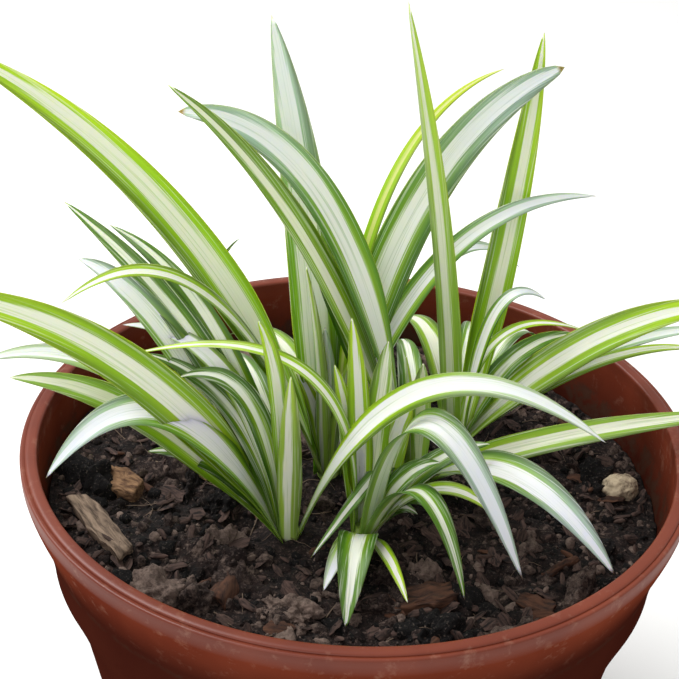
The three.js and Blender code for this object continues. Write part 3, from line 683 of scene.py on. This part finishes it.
def grow_leaf(shape, layers, crown, leaf, settings, draw):
    """Adds one blade to a rosette: a grid rolled flat into a closed sheath along its arch."""
    margin_root, margin_tip, stripe_root, stripe_tip, band, dry = LOOKS[leaf[8]]
    shade = draw.uniform(*SHADES)
    margins = [[c * shade for c in linear(colour)] for colour in (margin_root, margin_tip)]
    stripes = [linear(stripe_root), linear(stripe_tip)]
    band *= draw.uniform(*SHADES)
    seed = draw.random()
    wave_phase = draw.uniform(0, math.tau)
    wave = draw.uniform(*WAVES)
    offset = draw.uniform(-STRIPE_ASIDE, STRIPE_ASIDE)
    stations = [leaf_frame(crown, leaf, i / LEAF_STATIONS) for i in range(LEAF_STATIONS + 1)]
    made = bmesh.ops.create_grid(
        shape, x_segments=LEAF_STATIONS, y_segments=LEAF_ROUND, size=1)
    for vert in made["verts"]:
        share = (vert.co.x + 1) / 2
        angle = math.pi * (vert.co.y + 1)
        middle, across, upward, half = stations[round(share * LEAF_STATIONS)]
        side = math.cos(angle)
        thick = settings.thickness / MM * lerp(1, TIP_THICKNESS, share)
        keel = CHANNEL * half * abs(side) ** KEEL_CURVE
        flutter = wave * half * side * math.sin(wave_phase + WAVE_TURNS * share)
        rise = keel + flutter - thick / 2 + thick / 2 * math.sin(angle)
        if half < thick:
            rise *= half / thick
        vert.co = (middle + across * half * side + upward * rise) * MM
        vert[layers["side"]] = side + offset
        vert[layers["lane"]] = half * side
        vert[layers["reach"]] = share
        vert[layers["seed"]] = seed
        vert[layers["band"]] = band
        vert[layers["dry"]] = dry
        vert[layers["under"]] = 1.0 if math.sin(angle) < UNDERSIDE_FROM else 0.0
        # Along the leaf its base colours turn to its tip colours. On silver, pale and worn leaves
        # the tip's grey-blue is painted sky reflection.
        tip_tone_and_sheen = smoothstep((share - GREEN_UNTIL) / (SILVER_FROM - GREEN_UNTIL))
        vert[layers["margin"]] = [lerp(root, tip, tip_tone_and_sheen) for root, tip in zip(*margins)]
        vert[layers["stripe"]] = [lerp(root, tip, tip_tone_and_sheen) for root, tip in zip(*stripes)]


def grow_crown(shape, layers, crown, radius):
    """Adds the short stock that the leaves clasp, narrowed to its top."""
    height = CROWN_TOP - CROWN_FOOT
    middle = Vector((crown[0], crown[1], (CROWN_TOP + CROWN_FOOT) / 2)) * MM
    made = bmesh.ops.create_cone(
        shape, cap_ends=True, segments=CROWN_SIDES, radius1=radius * MM,
        radius2=radius * CROWN_TAPER * MM, depth=height * MM, matrix=Matrix.Translation(middle))
    for vert in made["verts"]:
        vert[layers["margin"]] = linear(CROWN_MARGIN_COLOUR)
        vert[layers["stripe"]] = linear(CROWN_STRIPE_COLOUR)
        vert[layers["band"]] = CROWN_STRIPE


def striped_leaf(settings):
    """A living strap leaf: a waxy cuticle over soft tissue that lets some light through."""
    material, tree = new_material("striped_leaf_blade")
    read = {
        name: add(tree, "Attribute", attribute_name=name)
        for name in ("side", "lane", "reach", "seed", "band", "dry", "under", "margin", "stripe")}
    value = {name: node.outputs["Fac"] for name, node in read.items()}
    scattered = add(tree, "Math", {0: value["seed"], 1: 90.0}, operation="MULTIPLY")
    stretched = add(tree, "Math", {0: value["reach"], 1: 1.6}, operation="MULTIPLY")
    lanes = add(tree, "CombineXYZ", {"X": value["lane"], "Y": stretched, "Z": scattered})
    veins = add(tree, "TexNoise", {
        "Vector": lanes, "Scale": MM / settings.vein_spacing, "Detail": 2.0, "Roughness": 0.6})
    broad = add(tree, "TexNoise", {"Vector": lanes, "Scale": 0.45, "Detail": 1.0})
    # The pale stripe: full inside its band, broken into fine lines along its edges.
    out = add(tree, "Math", {0: value["side"]}, operation="ABSOLUTE")
    into = add(tree, "Math", {0: value["band"], 1: out}, operation="SUBTRACT")
    frayed = add(tree, "Math", {0: veins, 1: 0.5, 2: into}, operation="MULTIPLY_ADD")
    striped = add(tree, "MapRange", {
        "Value": frayed, "From Min": 0.17, "From Max": 0.33}, interpolation_type="SMOOTHSTEP")
    # Veins show as lighter lines in the margins and as faint green lines in the stripe.
    lines = add(tree, "MapRange", {
        "Value": veins, "From Min": 0.54, "From Max": 0.68, "To Max": 0.45})
    # Next to the stripe a margin is lighter and yellower, and its very edge is darker.
    outwards = add(tree, "Math", {0: out, 1: value["band"]}, operation="SUBTRACT")
    inner = add(tree, "MapRange", {
        "Value": outwards, "From Min": 0.36, "From Max": 0.0, "To Max": 0.75})
    fresh = add(tree, "MapRange", {"Value": value["reach"], "From Min": 0.8, "From Max": 0.3})
    warmth = add(tree, "Math", {0: inner, 1: fresh}, operation="MULTIPLY")
    warmed = add(tree, "Mix", {
        0: warmth, 6: read["margin"].outputs["Color"], 7: settings.inner}, data_type="RGBA")
    edge = add(tree, "MapRange", {
        "Value": out, "From Min": 0.66, "From Max": 0.96, "To Min": 1.0, "To Max": 0.42})
    edged = add(tree, "VectorMath", {0: warmed, "Scale": edge}, operation="SCALE")
    margin = add(tree, "Mix", {
        0: lines, 6: edged, 7: read["stripe"].outputs["Color"]}, data_type="RGBA")
    shades = add(tree, "MapRange", {
        "Value": broad, "From Min": 0.3, "From Max": 0.7, "To Min": 0.82, "To Max": 1.18})
    margin_shade = add(tree, "VectorMath", {0: margin, "Scale": shades}, operation="SCALE")
    green_lines = add(tree, "MapRange", {
        "Value": veins, "From Min": 0.46, "From Max": 0.28, "To Max": 0.45})
    stripe = add(tree, "Mix", {
        0: green_lines, 6: read["stripe"].outputs["Color"], 7: read["margin"].outputs["Color"]},
        data_type="RGBA")
    blade = add(tree, "Mix", {0: striped, 6: margin_shade, 7: stripe}, data_type="RGBA")
    waxy = add(tree, "Math", {0: value["under"], 1: 0.16}, operation="MULTIPLY")
    under = add(tree, "Mix", {0: waxy, 6: blade, 7: settings.underside}, data_type="RGBA")
    at_root = add(tree, "MapRange", {
        "Value": value["reach"], "From Min": 0.2, "From Max": 0.02, "To Max": 0.5})
    rooted = add(tree, "Mix", {0: at_root, 6: under, 7: settings.root}, data_type="RGBA")
    left = add(tree, "Math", {0: 1.0, 1: value["reach"]}, operation="SUBTRACT")
    dried = add(tree, "Math", {0: value["dry"], 1: left}, operation="SUBTRACT")
    tip = add(tree, "MapRange", {"Value": dried, "From Min": -0.004, "From Max": 0.008})
    coloured = add(tree, "Mix", {0: tip, 6: rooted, 7: settings.dry}, data_type="RGBA")
    gloss = add(tree, "MapRange", {
        "Value": broad, "From Min": 0.3, "From Max": 0.7, "To Min": 0.32, "To Max": 0.46})
    bump = add(tree, "Bump", {"Height": veins, "Strength": 0.5, "Distance": 0.12 * MM})
    shader = add(tree, "BsdfPrincipled", {
        "Base Color": coloured, "Roughness": gloss, "Normal": bump, "IOR": 1.42,
        "Subsurface Weight": 0.5, "Subsurface Radius": (1.0, 1.3, 0.4),
        "Subsurface Scale": 1.4 * MM})
    add(tree, "OutputMaterial", {"Surface": shader})
    return material


class PLANT_OT_grow_leaves(bpy.types.Operator):
    """Grow the five rosettes of arching leaves"""

    bl_idname = "plant.grow_leaves"
    bl_label = "Grow Leaves"

    def execute(self, context):
        settings = context.scene.plant_leaves
        material = striped_leaf(settings)
        draw = random.Random(LEAF_SEED)
        for name, (crown, radius, leaves) in ROSETTES.items():
            shape = bmesh.new()
            floats = shape.verts.layers.float
            layers = {
                key: floats.new(key)
                for key in ("side", "lane", "reach", "seed", "band", "dry", "under")}
            for key in ("margin", "stripe"):
                layers[key] = shape.verts.layers.float_color.new(key)
            for leaf in leaves:
                grow_leaf(shape, layers, crown, leaf, settings, draw)
            grow_crown(shape, layers, crown, radius)
            close_mesh(shape)
            finished(shape, f"{name}_leaves", material, "striped_leaf", name)
        return {"FINISHED"}


# ---- Crumbs, scraps and fibres ----

CRUMB_SEED = 5
CROWN_CLEARANCE = 2
WALL_CLEARANCE = 1
# A kind of lump is its size from and to, the fineness of its faces, its roughness, and how far
# it is sunk, as a share of its size.
LUMP = (15, 30, 5, 0.6, 0.24)
CLOD = (7, 15, 3, 0.5, 0.15)
CRUMB = (3, 7, 2, 0.5, 0.1)
GRAIN = (1.1, 3, 1, 0.4, 0.1)
FEW_LARGE = 1.8  # how strongly small lumps outnumber large ones
SWELLS = [(1.2, 1), (2.9, 0.6), (6.5, 0.35)]  # fineness and share of a lump's bumps
BREADTHS = 0.65, 1  # of a lump, as shares of its length
DEPTHS = 0.45, 0.85
FAR_OFF = 50  # how far apart the random patterns of two pieces may be taken
FLAKE_LENGTHS = 4, 11
SCRAP_LENGTHS = 4, 12
SCRAP_BREADTHS = 0.25, 0.7  # as shares of the length
SCRAP_THICKNESSES = 0.7, 2.0
SCRAP_TILT = 0.4  # radians
SCRAP_LIFT = 1.2  # millimetres
SCRAP_STEPS = 5
SCRAP_ROUND = 8
SCRAP_ROUGHNESS = 0.2  # as a share of the breadth
SCRAP_SPREAD = 2.2  # millimetres over which that roughness changes
SCRAP_TAPER = 0.4  # how much narrower its ends are
SCRAP_BREAK = 0.6  # breadth of a scrap's broken end, as a share
SCRAP_GRAIN = 0.15  # how slowly the grain changes along a scrap
SCRAP_CREASE = math.radians(50)


def open_place(draw, reach, clearance):
    """A random point of the soil's surface that is clear of the crowns, in millimetres."""
    while True:
        radius = reach * math.sqrt(draw.random())
        angle = draw.uniform(0, math.tau)
        x, y = radius * math.cos(angle), radius * math.sin(angle)
        if all(math.hypot(x - crown[0], y - crown[1]) > crown_radius + clearance
               for crown, crown_radius, _ in ROSETTES.values()):
            return x, y


def join(shape, small):
    """Moves a small bmesh into a large one, which is much faster than growing it there."""
    scratch = mesh_of(small, "scratch")
    shape.from_mesh(scratch)
    bpy.data.meshes.remove(scratch)


def random_turn(draw):
    """A random rotation."""
    return Euler([draw.uniform(0, math.tau) for _ in range(3)]).to_matrix()


def random_shift(draw):
    """A random place in a noise pattern."""
    return Vector([draw.uniform(0, FAR_OFF) for _ in range(3)])


def add_lumps(shape, kind, count, draw, wall):
    """Adds rough lumps of soil, partly sunk in the surface."""
    smallest, largest, fineness, roughness, sink = kind
    for _ in range(count):
        size = smallest + (largest - smallest) * draw.random() ** FEW_LARGE
        x, y = open_place(draw, wall - size / 2, size / 2 + CROWN_CLEARANCE)
        middle = Vector((x, y, rough_height(x, y) - sink * size))
        turn = random_turn(draw)
        shift = random_shift(draw)
        flat = Vector((1, draw.uniform(*BREADTHS), draw.uniform(*DEPTHS)))
        shade = draw.random()
        lump = bmesh.new()
        tint = lump.verts.layers.float.new("tint")
        bmesh.ops.create_icosphere(lump, subdivisions=fineness, radius=1)
        for vert in lump.verts:
            point = vert.co.copy()
            swell = 1
            for bumps, part in SWELLS:
                swell += part * roughness * noise.noise(point * bumps + shift)
            vert.co = (middle + turn @ (point * flat * (swell * size / 2))) * MM
            vert[tint] = shade
        join(shape, lump)


def add_scraps(shape, count, length_range, draw, wall):
    """Adds flat splinters of bark, lying at all angles."""
    for _ in range(count):
        length = draw.uniform(*length_range)
        width = length * draw.uniform(*SCRAP_BREADTHS)
        thick = draw.uniform(*SCRAP_THICKNESSES)
        x, y = open_place(draw, wall - length / 2, length / 2 + CROWN_CLEARANCE)
        tilt = [draw.gauss(0, SCRAP_TILT) for _ in range(2)]
        turn = Euler((*tilt, draw.uniform(0, math.tau))).to_matrix()
        middle = Vector((x, y, rough_height(x, y) + draw.uniform(0, SCRAP_LIFT)))
        shift = random_shift(draw)
        scrap = bmesh.new()
        grain = scrap.verts.layers.float_vector.new("grain")
        made = bmesh.ops.create_grid(
            scrap, x_segments=SCRAP_STEPS, y_segments=SCRAP_ROUND, size=1)
        for vert in made["verts"]:
            along = vert.co.x
            angle = math.pi * (vert.co.y + 1)
            taper = (1 - SCRAP_TAPER * abs(along) ** 3) * (1 if abs(along) < 1 else SCRAP_BREAK)
            local = Vector((
                along * length / 2, math.cos(angle) * width / 2 * taper,
                math.sin(angle) * thick / 2 * taper))
            local += noise.noise_vector(local / SCRAP_SPREAD + shift) * SCRAP_ROUGHNESS * width
            vert.co = (middle + turn @ local) * MM
            vert[grain] = (local.x * SCRAP_GRAIN + shift.x, local.y, local.z)
        close_mesh(scrap)
        join(shape, scrap)


FIBRE_POINTS = 12
FIBRE_ROUND = 5
FIBRE_LENGTHS = 7, 26
FIBRE_CURL = 0.09  # radians per millimetre
FIBRE_WANDER = 0.12  # radians at each point
FIBRE_LIFTS = 0.2, 1.6
FIBRE_THICKNESSES = 0.25, 0.6
FIBRE_TAPER = 0.5
FIBRE_GRAIN = 0.3  # how slowly the grain changes along a fibre


def fibre_route(draw, wall):
    """Points of a thin fibre that winds over the soil, in millimetres."""
    length = draw.uniform(*FIBRE_LENGTHS)
    x, y = open_place(draw, wall - length, CROWN_CLEARANCE)
    heading = draw.uniform(0, math.tau)
    curl = draw.uniform(-FIBRE_CURL, FIBRE_CURL)
    lift = draw.uniform(*FIBRE_LIFTS)
    step = length / FIBRE_POINTS
    route = []
    for i in range(FIBRE_POINTS + 1):
        heading += curl * step + draw.uniform(-FIBRE_WANDER, FIBRE_WANDER)
        x += math.cos(heading) * step
        y += math.sin(heading) * step
        hump = lift * math.sin(math.pi * i / FIBRE_POINTS)
        route.append(Vector((x, y, rough_height(x, y) + hump)))
    return route


def add_fibres(shape, count, draw, wall):
    """Adds thin root fibres, each a grid rolled round its route."""
    for _ in range(count):
        route = fibre_route(draw, wall)
        thick = draw.uniform(*FIBRE_THICKNESSES)
        fibre = bmesh.new()
        grain = fibre.verts.layers.float_vector.new("grain")
        made = bmesh.ops.create_grid(
            fibre, x_segments=FIBRE_POINTS, y_segments=FIBRE_ROUND, size=1)
        for vert in made["verts"]:
            index = round((vert.co.x + 1) / 2 * FIBRE_POINTS)
            angle = math.pi * (vert.co.y + 1)
            ahead = (route[min(index + 1, FIBRE_POINTS)] - route[max(index - 1, 0)]).normalized()
            across = ahead.cross(Vector((0, 0, 1))).normalized()
            radius = thick / 2 * (1 - FIBRE_TAPER * index / FIBRE_POINTS)
            ring = across * math.cos(angle) + ahead.cross(across) * math.sin(angle)
            vert.co = (route[index] + ring * radius) * MM
            vert[grain] = (index * FIBRE_GRAIN, ring.x, ring.y)
        close_mesh(fibre)
        join(shape, fibre)


def fibrous(name, pale, dark, roughness, spacing):
    """Bark or dry wood: fibres run along the piece, with dark furrows a spacing in mm apart."""
    material, tree = new_material(name)
    grain = add(tree, "Attribute", attribute_name="grain").outputs["Vector"]
    furrows = add(tree, "TexNoise", {
        "Vector": grain, "Scale": 1 / spacing, "Detail": 5.0, "Roughness": 0.65})
    share = add(tree, "MapRange", {"Value": furrows, "From Min": 0.36, "From Max": 0.62})
    coloured = add(tree, "Mix", {0: share, 6: dark, 7: pale}, data_type="RGBA")
    bump = add(tree, "Bump", {"Height": furrows, "Strength": 0.9, "Distance": 0.5 * MM})
    shader = add(tree, "BsdfPrincipled", {
        "Base Color": coloured, "Roughness": roughness, "Normal": bump, "Specular IOR Level": 0.3})
    add(tree, "OutputMaterial", {"Surface": shader})
    return material


class PLANT_OT_scatter_crumbs(bpy.types.Operator):
    """Scatter clods, crumbs, grains, bark scraps and root fibres over the soil"""

    bl_idname = "plant.scatter_crumbs"
    bl_label = "Scatter Crumbs"

    def execute(self, context):
        soil = context.scene.plant_soil
        litter = context.scene.plant_litter
        wall = radius_at(inner_section(context.scene.plant_pot), SOIL_LEVEL) - WALL_CLEARANCE
        draw = random.Random(CRUMB_SEED)
        crumbly = potting_soil(soil, "dry_potting_soil", tinted=True)
        for name, lumps in (
                ("soil_lumps", [(LUMP, soil.lumps)]),
                ("soil_clods", [(CLOD, soil.clods), (CRUMB, soil.crumbs)]),
                ("soil_grains", [(GRAIN, soil.grains)])):
            shape = bmesh.new()
            for kind, count in lumps:
                add_lumps(shape, kind, count, draw, wall)
            finished(shape, name, crumbly, "potting_soil")
        old_bark = fibrous("rotted_bark", litter.rotted, soil.dark, 0.9, 1.2)
        bark = fibrous("composted_bark", litter.damp, litter.damp_dark, 0.9, 1.4)
        for name, material, count, lengths in (
                ("rotted_bark_flakes", old_bark, soil.flakes, FLAKE_LENGTHS),
                ("bark_scraps", bark, soil.scraps, SCRAP_LENGTHS)):
            shape = bmesh.new()
            add_scraps(shape, count, lengths, draw, wall)
            finished(shape, name, material, "brown_bark", sharp=SCRAP_CREASE)
        shape = bmesh.new()
        add_fibres(shape, soil.fibres, draw, wall)
        root = fibrous("root_fibre", litter.wood, litter.wood_dark, 0.85, 1.2)
        finished(shape, "root_fibres", root, "pale_wood")
        return {"FINISHED"}


# ---- What lies on the soil ----

# For each piece: its slot and finish, how often its edges are cut, how rough it is in
# millimetres, and over what distance in millimetres.
WEATHERED = {
    "bark_block": ("brown_bark", "dry_bark", 6, 1.1, 3.0),
    "wood_chip": ("brown_bark", "damp_bark", 6, 1.3, 3.5),
    "chip_right": ("brown_bark", "damp_bark", 5, 0.9, 2.5),
    "wood_strip": ("pale_wood", "grey_wood", 7, 0.9, 4.0),
    "bark_curl": ("pale_wood", "damp_bark", 2, 0.5, 2.5),
    "straw_long": ("straw", "dry_straw", 2, 0.2, 2.5),
    "straw_short": ("straw", "dry_straw", 2, 0.2, 2.5),
    "root_twig": ("brown_bark", "damp_bark", 2, 0.5, 2.5),
    "stick": ("brown_bark", "damp_bark", 2, 0.5, 2.0),
}
GRAIN_STRETCH = 0.88  # share of the distance along a piece that its grain doesn't change over
LITTER_CREASE = math.radians(55)


def long_axis(verts):
    """The direction from the point furthest from the middle to the one furthest from it."""
    middle = sum((vert.co for vert in verts), Vector()) / len(verts)
    first = max(verts, key=lambda vert: (vert.co - middle).length).co
    second = max(verts, key=lambda vert: (vert.co - first).length).co
    return (second - first).normalized()


def weather(node, cuts, rough, spread):
    """A copy of a node's mesh, split finely and roughened, with its grain marked."""
    shape = bmesh.new()
    shape.from_mesh(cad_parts[node].data)
    bmesh.ops.remove_doubles(shape, verts=shape.verts[:], dist=WELD)
    grain = shape.verts.layers.float_vector.new("grain")
    axis = long_axis(shape.verts[:])
    bmesh.ops.subdivide_edges(shape, edges=shape.edges[:], cuts=cuts, use_grid_fill=True)
    for vert in shape.verts:
        place = vert.co / MM
        along = place.dot(axis)
        vert[grain] = place - axis * along * GRAIN_STRETCH
        shake = noise.noise_vector(place / spread) + 0.5 * noise.noise_vector(place * 2 / spread)
        vert.co += shake * rough * MM
    bmesh.ops.recalc_face_normals(shape, faces=shape.faces[:])
    return shape


def soften(shape):
    """Rounds the facets of a bmesh."""
    bmesh.ops.smooth_vert(
        shape, verts=shape.verts[:], factor=0.5, use_axis_x=True, use_axis_y=True,
        use_axis_z=True)


def granular_sandstone(litter):
    """Sandstone: beige grains of about a millimetre, with darker pits between them."""
    material, tree = new_material("granular_sandstone")
    place = add(tree, "TexCoord").outputs["Object"]
    grains = add(tree, "TexVoronoi", {"Vector": place, "Scale": 1 / (1.3 * MM)})
    blotches = add(tree, "TexNoise", {
        "Vector": place, "Scale": 1 / (3.5 * MM), "Detail": 4.0, "Roughness": 0.65})
    pits = add(tree, "MapRange", {"Value": blotches, "From Min": 0.55, "From Max": 0.38})
    coloured = add(tree, "Mix", {
        0: pits, 6: litter.stone, 7: litter.stone_dark}, data_type="RGBA")
    bump = add(tree, "Bump", {"Height": grains, "Strength": 0.7, "Distance": 0.5 * MM})
    shader = add(tree, "BsdfPrincipled", {
        "Base Color": coloured, "Roughness": 0.95, "Normal": bump})
    add(tree, "OutputMaterial", {"Surface": shader})
    return material


class PLANT_OT_weather_litter(bpy.types.Operator):
    """Weather the bark, wood, straws and stone that lie on the soil"""

    bl_idname = "plant.weather_litter"
    bl_label = "Weather Litter"

    def execute(self, context):
        litter = context.scene.plant_litter
        finishes = {
            "dry_bark": fibrous("dry_pine_bark", litter.bark, litter.bark_dark, 0.9, 1.3),
            "damp_bark": fibrous("damp_pine_bark", litter.damp, litter.damp_dark, 0.85, 1.6),
            "grey_wood": fibrous("weathered_pine", litter.wood, litter.wood_dark, 0.9, 1.3),
            "dry_straw": fibrous("dry_straw", litter.straw, litter.wood, 0.6, 1.0),
        }
        for node, (slot, finish, cuts, rough, spread) in WEATHERED.items():
            shape = weather(node, cuts, rough, spread)
            finished(
                shape, f"{node}_weathered", finishes[finish], slot, node, sharp=LITTER_CREASE)
        stone = weather("stone", cuts=4, rough=1.2, spread=4.0)
        soften(stone)
        finished(stone, "stone_weathered", granular_sandstone(litter), "rough_stone", "stone")
        return {"FINISHED"}


# ---- Seedling ----

SEEDLING_SHADE = "#6F9F35"  # the darker mottling


def seed_leaf(litter):
    """A young seed leaf: thin, soft and evenly light green."""
    material, tree = new_material("young_seed_leaf")
    place = add(tree, "TexCoord").outputs["Object"]
    mottle = add(tree, "TexNoise", {"Vector": place, "Scale": 1 / (2.5 * MM), "Detail": 3.0})
    coloured = add(tree, "Mix", {
        0: mottle, 6: linear(SEEDLING_SHADE), 7: litter.seedling}, data_type="RGBA")
    shader = add(tree, "BsdfPrincipled", {
        "Base Color": coloured, "Roughness": 0.5, "Subsurface Weight": 0.2,
        "Subsurface Scale": 0.8 * MM})
    add(tree, "OutputMaterial", {"Surface": shader})
    return material


class PLANT_OT_sprout_seedling(bpy.types.Operator):
    """Sprout the seedling by the back wall"""

    bl_idname = "plant.sprout_seedling"
    bl_label = "Sprout Seedling"

    def execute(self, context):
        shape = weather("seedling", cuts=2, rough=0.12, spread=2.0)
        soften(shape)
        finished(shape, "seedling_sprout", seed_leaf(context.scene.plant_litter),
                 "seedling_green", "seedling")
        return {"FINISHED"}


# ---- Stage ----

AIM = Vector((-7.6, 62, 170))  # the middle of the view, in millimetres
FLOOR_SIZE = 8.0
KEY_LIGHT = ((-0.75, 0.45, 1.35), 0.9)  # place and width, in metres
FILL_LIGHT = ((-0.5, -1.1, 1.0), 0.9)


def area_light(name, place, width, power):
    """A square soft light that faces the plant."""
    data = bpy.data.lights.new(name, "AREA")
    data.size = width
    data.energy = power
    lamp = bpy.data.objects.new(name, data)
    aim = (AIM * MM - Vector(place)).to_track_quat("-Z", "Y").to_matrix().to_4x4()
    lamp.matrix_world = Matrix.Translation(place) @ aim
    bpy.context.scene.collection.objects.link(lamp)


class PLANT_OT_set_stage(bpy.types.Operator):
    """Set up the pale floor, the soft lights and the camera"""

    bl_idname = "plant.set_stage"
    bl_label = "Set Stage"

    def execute(self, context):
        stage = context.scene.plant_stage
        self.lay_floor(context, stage)
        area_light("key_light", *KEY_LIGHT, stage.key_power)
        area_light("fill_light", *FILL_LIGHT, stage.fill_power)
        world = bpy.data.worlds.new("soft_daylight")
        world.use_nodes = True
        sky = world.node_tree.nodes["Background"].inputs
        sky["Color"].default_value = (1, 1, 1, 1)
        sky["Strength"].default_value = stage.sky
        context.scene.world = world
        context.scene.view_settings.view_transform = "Standard"
        self.place_camera(context, stage)
        return {"FINISHED"}

    @staticmethod
    def lay_floor(context, stage):
        """A wide pale floor under the pot."""
        shape = bmesh.new()
        bmesh.ops.create_grid(shape, x_segments=1, y_segments=1, size=FLOOR_SIZE / 2)
        mesh = mesh_of(shape, "floor")
        material, tree = new_material("pale_floor")
        shader = add(tree, "BsdfPrincipled", {
            "Base Color": stage.floor_colour, "Roughness": 0.9})
        add(tree, "OutputMaterial", {"Surface": shader})
        mesh.materials.append(material)
        floor = bpy.data.objects.new("floor", mesh)
        context.scene.collection.objects.link(floor)

    @staticmethod
    def place_camera(context, stage):
        """A camera that looks down on the plant from the front."""
        data = bpy.data.cameras.new("camera")
        data.angle = stage.view_angle
        data.clip_start = 0.01
        camera = bpy.data.objects.new("camera", data)
        back = Vector((0, -math.cos(stage.elevation), math.sin(stage.elevation)))
        turn = (-back).to_track_quat("-Z", "Y").to_matrix().to_4x4()
        camera.matrix_world = (
            Matrix.Translation(AIM * MM + back * stage.distance) @ turn
            @ Matrix.Rotation(stage.camera_roll, 4, "Z"))
        context.scene.collection.objects.link(camera)
        context.scene.camera = camera


# ---- Panel and registration ----

STEPS = [
    PLANT_OT_turn_pot, PLANT_OT_lay_soil, PLANT_OT_grow_leaves, PLANT_OT_scatter_crumbs,
    PLANT_OT_weather_litter, PLANT_OT_sprout_seedling, PLANT_OT_set_stage,
]
SETTINGS = {
    "plant_pot": PotSettings, "plant_soil": SoilSettings, "plant_leaves": LeafSettings,
    "plant_litter": LitterSettings, "plant_stage": StageSettings,
}


class PLANT_PT_builder(bpy.types.Panel):
    """The steps that build the plant, with their settings"""

    bl_label = "Spider Plant"
    bl_idname = "PLANT_PT_builder"
    bl_space_type = "VIEW_3D"
    bl_region_type = "UI"
    bl_category = "Plant"

    def draw(self, context):
        for step in STEPS:
            self.layout.operator(step.bl_idname)
        for name, group in SETTINGS.items():
            box = self.layout.box()
            box.label(text=group.__doc__)
            for key in group.__annotations__:
                box.prop(getattr(context.scene, name), key)


def register():
    """Registers the settings, the steps and the panel."""
    for group in (*SETTINGS.values(), *STEPS, PLANT_PT_builder):
        bpy.utils.register_class(group)
    for name, group in SETTINGS.items():
        setattr(bpy.types.Scene, name, PointerProperty(type=group))


def unregister():
    """Takes them away again."""
    for name in SETTINGS:
        delattr(bpy.types.Scene, name)
    for group in (PLANT_PT_builder, *reversed(STEPS), *reversed(SETTINGS.values())):
        bpy.utils.unregister_class(group)


def main():
    """Builds the plant."""
    register()
    for step in STEPS:
        group, name = step.bl_idname.split(".")
        getattr(getattr(bpy.ops, group), name)()


if __name__ == "__main__":
    main()
